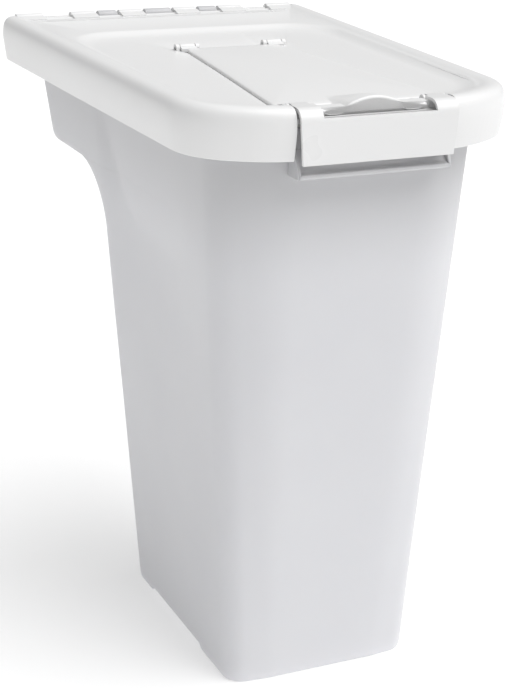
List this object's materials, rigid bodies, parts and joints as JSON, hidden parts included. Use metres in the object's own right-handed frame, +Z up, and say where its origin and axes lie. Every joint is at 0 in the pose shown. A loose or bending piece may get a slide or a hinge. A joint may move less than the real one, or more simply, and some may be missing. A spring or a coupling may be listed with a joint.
{
  "type": "lidded storage bin",
  "caption": "Tall tapered bin in translucent plastic with a hinged white lid, a pour flap and a swing-up front latch",
  "frame": {"origin": "middle of the bounding box at floor level, where the feet stand", "axes": "+Z up, +Y towards the hinge row at the back, -Y towards the latch, +X to the right seen from the latch side"},
  "size_m": [0.289, 0.4349, 0.4754],
  "materials": {
    "body_plastic": "translucent natural moulded polypropylene, satin",
    "lid_plastic": "white moulded polypropylene, soft gloss",
    "flap_plastic": "white moulded polypropylene, soft gloss",
    "latch_plastic": "white moulded polypropylene, soft gloss",
    "rod_plastic": "white extruded plastic rod",
    "seal_rubber": "soft pale sealing strip"
  },
  "bodies": {
    "bin": {"bin_body": "body_plastic", "hinge_rod": "rod_plastic"},
    "lid": {"lid": "lid_plastic", "lid_seal": "seal_rubber", "flap_pin_left": "rod_plastic", "flap_pin_right": "rod_plastic", "latch_pin_left": "rod_plastic", "latch_pin_right": "rod_plastic"},
    "flap": {"pour_flap": "flap_plastic"},
    "latch": {"latch": "latch_plastic"}
  },
  "joints": [
    {"name": "lid_hinge", "type": "hinge", "parent": "bin", "child": "lid", "pos_m": [0, 0.21, 0.467], "axis": [-1, 0, 0], "range_deg": [0, 105]},
    {"name": "flap_hinge", "type": "hinge", "parent": "lid", "child": "flap", "pos_m": [0, 0.0435, 0.467], "axis": [-1, 0, 0], "range_deg": [0, 110]},
    {"name": "latch_hinge", "type": "hinge", "parent": "lid", "child": "latch", "pos_m": [0, -0.1935, 0.4672], "axis": [-1, 0, 0], "range_deg": [0, 95]}
  ]
}
